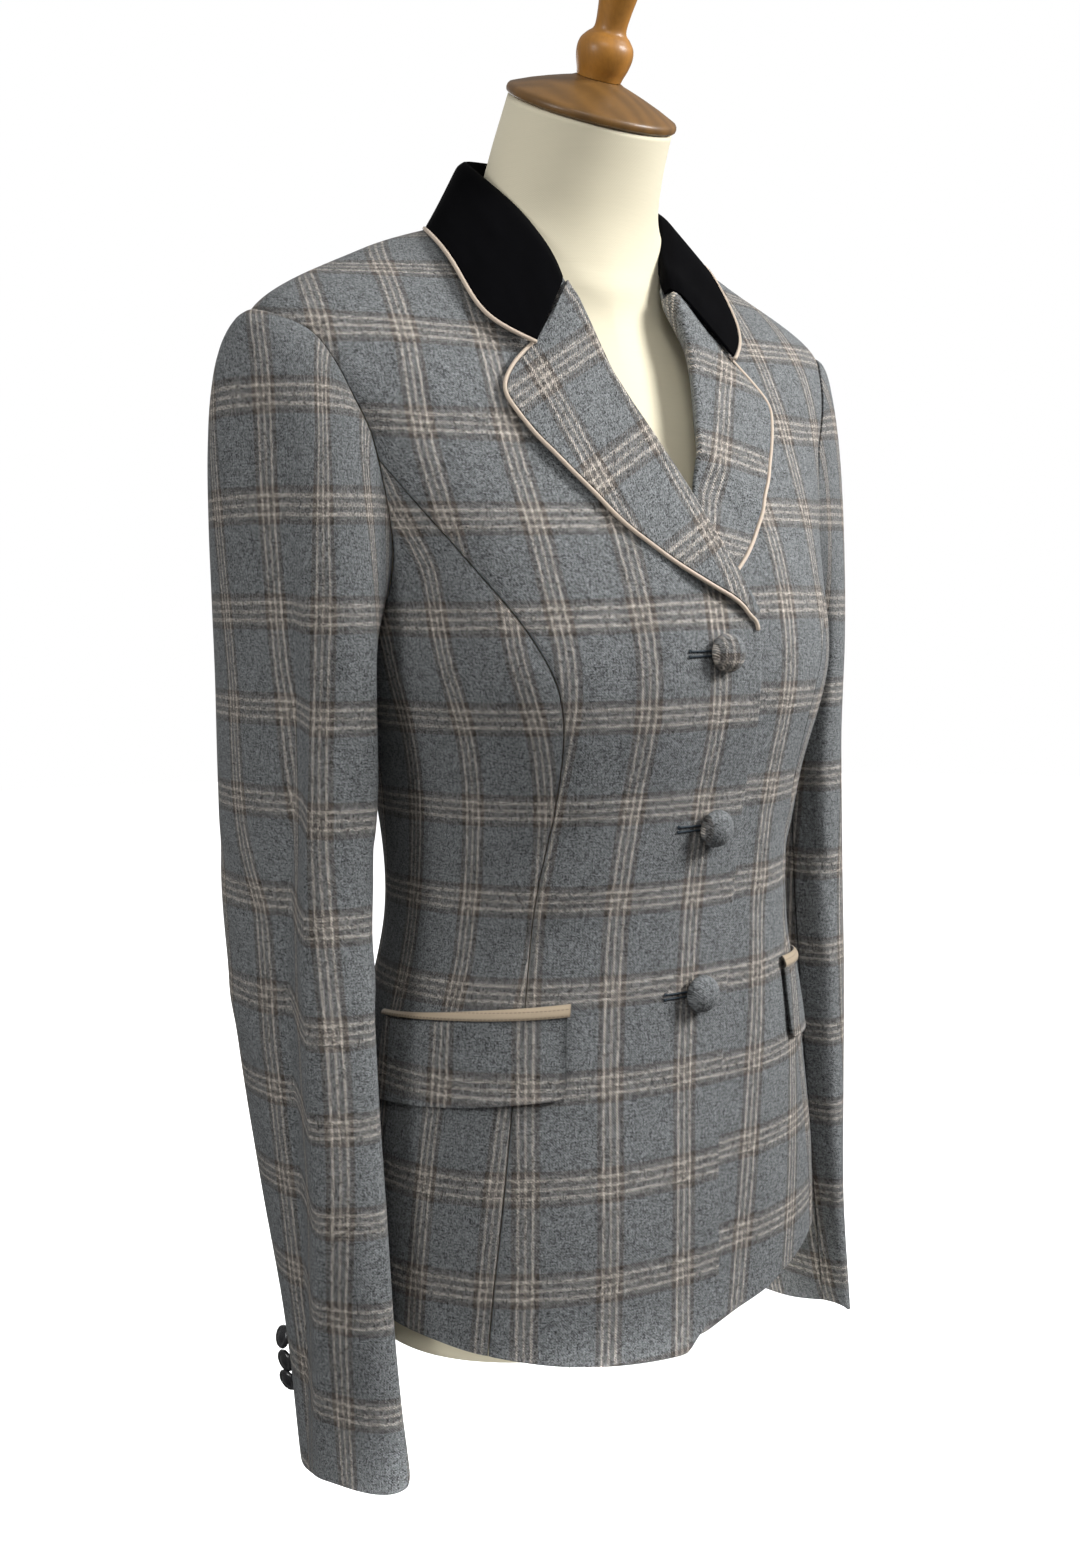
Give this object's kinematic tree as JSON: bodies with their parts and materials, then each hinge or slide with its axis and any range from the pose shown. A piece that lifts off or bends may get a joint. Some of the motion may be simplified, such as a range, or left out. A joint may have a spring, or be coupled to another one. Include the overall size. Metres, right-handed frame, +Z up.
{
  "type": "equestrian show coat on dress form",
  "caption": "Single-breasted fitted riding coat in windowpane check with a velvet collar, piped edges and flap pockets, worn on a limbless dress form on a stand.",
  "frame": {"origin": "centre of the underside of the stand's foot, on the floor", "axes": "+Z up through the form; the coat's front faces -Y, and the wearer's right is at -X"},
  "size_m": [0.4389, 0.304, 1.125],
  "materials": {
    "plaid_wool": "woven, matte, with a light windowpane check",
    "velvet": "black pile",
    "piping": "satin cord in beige",
    "cuff_buttons": "black, glossy",
    "form_linen": "cream cloth cover",
    "turned_wood": "stained and varnished",
    "stand_paint": "pale satin paint"
  },
  "bodies": {
    "root": {"back_left": "plaid_wool", "back_right": "plaid_wool", "collar": "velvet", "collar_piping": "piping", "cuff_button_left_1": "cuff_buttons", "cuff_button_left_2": "cuff_buttons", "cuff_button_left_3": "cuff_buttons", "cuff_button_right_1": "cuff_buttons", "cuff_button_right_2": "cuff_buttons", "cuff_button_right_3": "cuff_buttons", "dress_form": "form_linen", "flap_left": "plaid_wool", "flap_right": "plaid_wool", "front_button_1": "plaid_wool", "front_button_2": "plaid_wool", "front_button_3": "plaid_wool", "front_left": "plaid_wool", "front_right": "plaid_wool", "lapel_left": "plaid_wool", "lapel_piping_left": "piping", "lapel_piping_right": "piping", "lapel_right": "plaid_wool", "neck_cap": "turned_wood", "neck_finial": "turned_wood", "pocket_jet_left": "piping", "pocket_jet_right": "piping", "side_left": "plaid_wool", "side_right": "plaid_wool", "sleeve_top_left": "plaid_wool", "sleeve_top_right": "plaid_wool", "sleeve_under_left": "plaid_wool", "sleeve_under_right": "plaid_wool", "stand_foot": "stand_paint", "stand_post": "stand_paint"}
  },
  "joints": []
}
